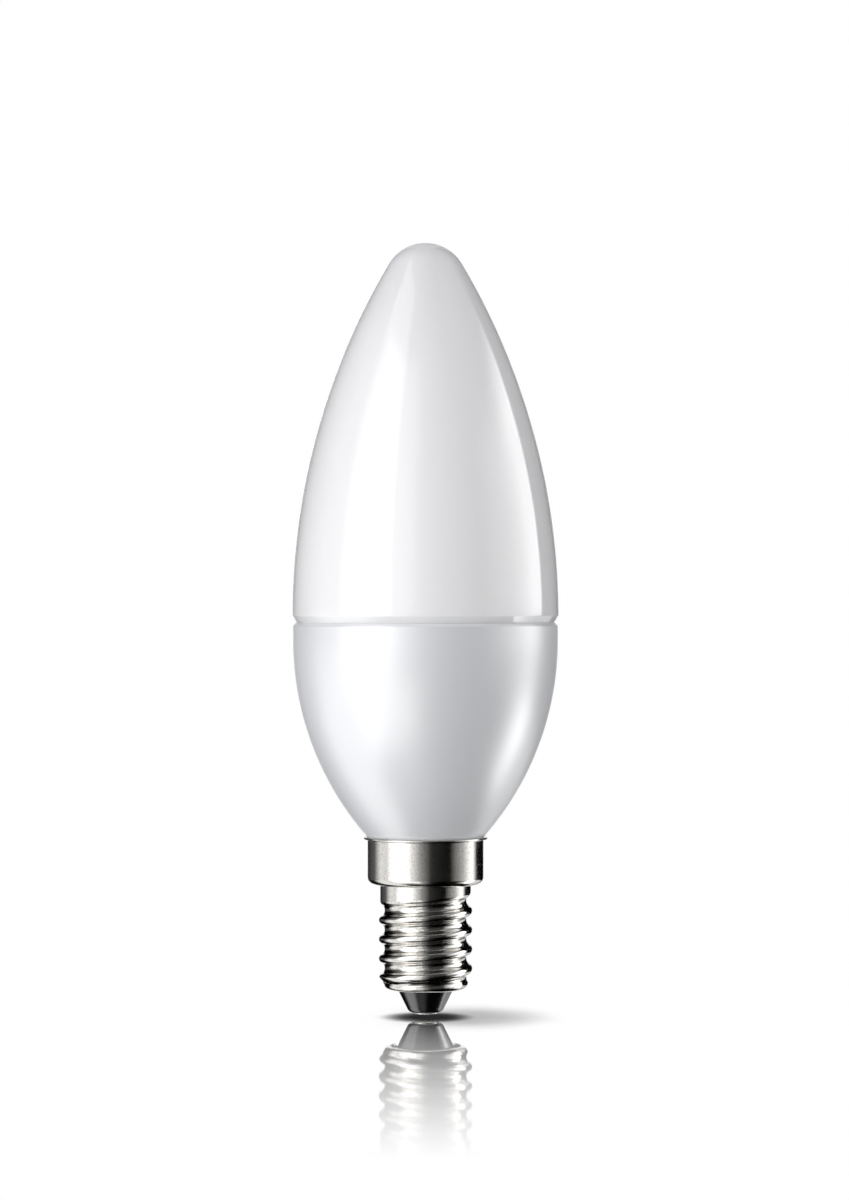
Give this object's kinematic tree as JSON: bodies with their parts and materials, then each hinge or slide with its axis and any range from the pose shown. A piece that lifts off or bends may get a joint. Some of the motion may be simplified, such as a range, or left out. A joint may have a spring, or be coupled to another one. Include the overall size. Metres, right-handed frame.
{
  "type": "led candle bulb",
  "caption": "Candle-shaped LED bulb with an opal dome over a bowl-shaped white housing and a small nickel-plated screw cap, screwed into a lamp holder to give light.",
  "frame": {"origin": "lowest point of the centre contact, on the bulb's axis", "axes": "+Z along the bulb's axis, from the cap to the nose of the dome"},
  "size_m": [0.039, 0.039, 0.1128],
  "materials": {
    "opal_plastic": "glossy opal white moulded plastic",
    "white_plastic": "satin cool white moulded plastic",
    "nickel_plate": "bright nickel plating on drawn sheet",
    "black_glass": "glossy opaque black glass",
    "contact_metal": "plated rivet, bright"
  },
  "bodies": {
    "root": {"diffuser_dome": "opal_plastic", "housing": "white_plastic", "screw_shell": "nickel_plate", "cap_insulator": "black_glass", "centre_contact": "contact_metal"}
  },
  "joints": []
}
